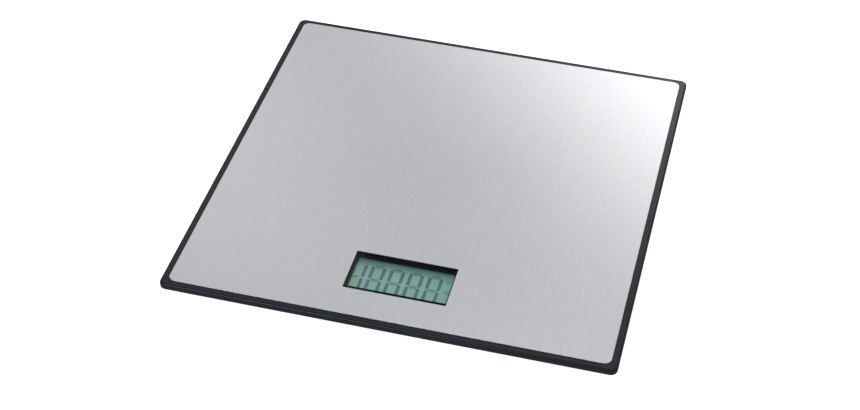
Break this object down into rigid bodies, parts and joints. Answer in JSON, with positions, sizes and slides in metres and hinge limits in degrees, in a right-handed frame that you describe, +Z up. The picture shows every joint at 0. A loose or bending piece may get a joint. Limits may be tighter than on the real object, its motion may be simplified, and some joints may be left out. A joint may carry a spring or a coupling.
{
  "type": "parcel scale",
  "caption": "Flat electronic parcel scale: brushed steel platform in a thin black tray, display window near the front edge, sensor feet and battery bay below.",
  "frame": {"origin": "on the floor under the middle of the scale", "axes": "+Z up, -Y towards the user and the display, +X to the user's right"},
  "size_m": [0.312, 0.32, 0.024],
  "materials": {
    "plate_steel": "fine straight brushed grain, satin",
    "foam_tape": "matte foam",
    "tray_plastic": "black moulded, satin gloss",
    "cover_plastic": "black moulded, fine texture",
    "lens_clear": "clear polished acrylic",
    "mask_print": "black screen print",
    "lcd_holder": "black moulded",
    "lcd_panel": "green-grey reflective display",
    "reflector_film": "satin reflective film",
    "contact_rubber": "matte elastomer",
    "board_laminate": "green solder resist",
    "chip_epoxy": "moulded epoxy",
    "component_ceramic": "small ceramic parts",
    "socket_plastic": "natural nylon",
    "screw_zinc": "bright zinc plate",
    "screw_black": "black zinc plate",
    "switch_plastic": "moulded",
    "plunger_plastic": "moulded",
    "button_plastic": "grey moulded",
    "door_plastic": "black moulded, fine texture",
    "battery_wrap": "printed film wrap, plain",
    "contact_plate": "nickel plate",
    "spring_wire": "nickel plated wire",
    "wire_sleeve": "soft sleeve",
    "cell_steel": "nickel plated stamping",
    "gauge_film": "polyimide film",
    "retainer_plastic": "natural moulded",
    "foot_plastic": "black moulded",
    "pad_rubber": "matte rubber",
    "clip_steel": "spring steel"
  },
  "bodies": {
    "scale_body": {"platform_plate": "plate_steel", "plate_tape": "foam_tape", "platform_tray": "tray_plastic", "bottom_cover": "cover_plastic", "display_lens": "lens_clear", "display_mask": "mask_print", "lcd_frame": "lcd_holder", "lcd_glass": "lcd_panel", "lcd_reflector": "reflector_film", "zebra_strips": "contact_rubber", "main_pcb": "board_laminate", "pcb_chip": "chip_epoxy", "pcb_components": "component_ceramic", "wire_sockets": "socket_plastic", "pcb_screws": "screw_zinc", "unit_switch": "switch_plastic", "battery_front": "battery_wrap", "battery_rear": "battery_wrap", "battery_contacts": "contact_plate", "battery_springs": "spring_wire", "battery_wires": "wire_sleeve", "cover_screws": "screw_black", "retainer_screws": "screw_zinc", "load_cell_fl": "cell_steel", "strain_gauge_fl": "gauge_film", "cell_retainer_fl": "retainer_plastic", "cell_wires_fl": "wire_sleeve", "load_cell_fr": "cell_steel", "strain_gauge_fr": "gauge_film", "cell_retainer_fr": "retainer_plastic", "cell_wires_fr": "wire_sleeve", "load_cell_rl": "cell_steel", "strain_gauge_rl": "gauge_film", "cell_retainer_rl": "retainer_plastic", "cell_wires_rl": "wire_sleeve", "load_cell_rr": "cell_steel", "strain_gauge_rr": "gauge_film", "cell_retainer_rr": "retainer_plastic", "cell_wires_rr": "wire_sleeve"},
    "foot_fl": {"foot_fl": "foot_plastic", "foot_pad_fl": "pad_rubber", "foot_clip_fl": "clip_steel"},
    "foot_fr": {"foot_fr": "foot_plastic", "foot_pad_fr": "pad_rubber", "foot_clip_fr": "clip_steel"},
    "foot_rl": {"foot_rl": "foot_plastic", "foot_pad_rl": "pad_rubber", "foot_clip_rl": "clip_steel"},
    "foot_rr": {"foot_rr": "foot_plastic", "foot_pad_rr": "pad_rubber", "foot_clip_rr": "clip_steel"},
    "battery_door": {"battery_door": "door_plastic"},
    "unit_button": {"unit_button": "button_plastic", "switch_plunger": "plunger_plastic"}
  },
  "joints": [
    {"name": "foot_fl_press", "type": "slide", "parent": "scale_body", "child": "foot_fl", "axis": [0, 0, 1], "range_m": [0, 0.0005], "stiffness_N_per_m": 3000, "deforming": ["load_cell_fl"]},
    {"name": "foot_fr_press", "type": "slide", "parent": "scale_body", "child": "foot_fr", "axis": [0, 0, 1], "range_m": [0, 0.0005], "stiffness_N_per_m": 3000, "deforming": ["load_cell_fr"]},
    {"name": "foot_rl_press", "type": "slide", "parent": "scale_body", "child": "foot_rl", "axis": [0, 0, 1], "range_m": [0, 0.0005], "stiffness_N_per_m": 3000, "deforming": ["load_cell_rl"]},
    {"name": "foot_rr_press", "type": "slide", "parent": "scale_body", "child": "foot_rr", "axis": [0, 0, 1], "range_m": [0, 0.0005], "stiffness_N_per_m": 3000, "deforming": ["load_cell_rr"]},
    {"name": "battery_door_hinge", "type": "hinge", "parent": "scale_body", "child": "battery_door", "pos_m": [-0.0248, -0.04, 0.0057], "axis": [0, 1, 0], "range_deg": [0, 90]},
    {"name": "unit_button_press", "type": "slide", "parent": "scale_body", "child": "unit_button", "axis": [0, 0, 1], "range_m": [0, 0.0005], "stiffness_N_per_m": 3000}
  ]
}
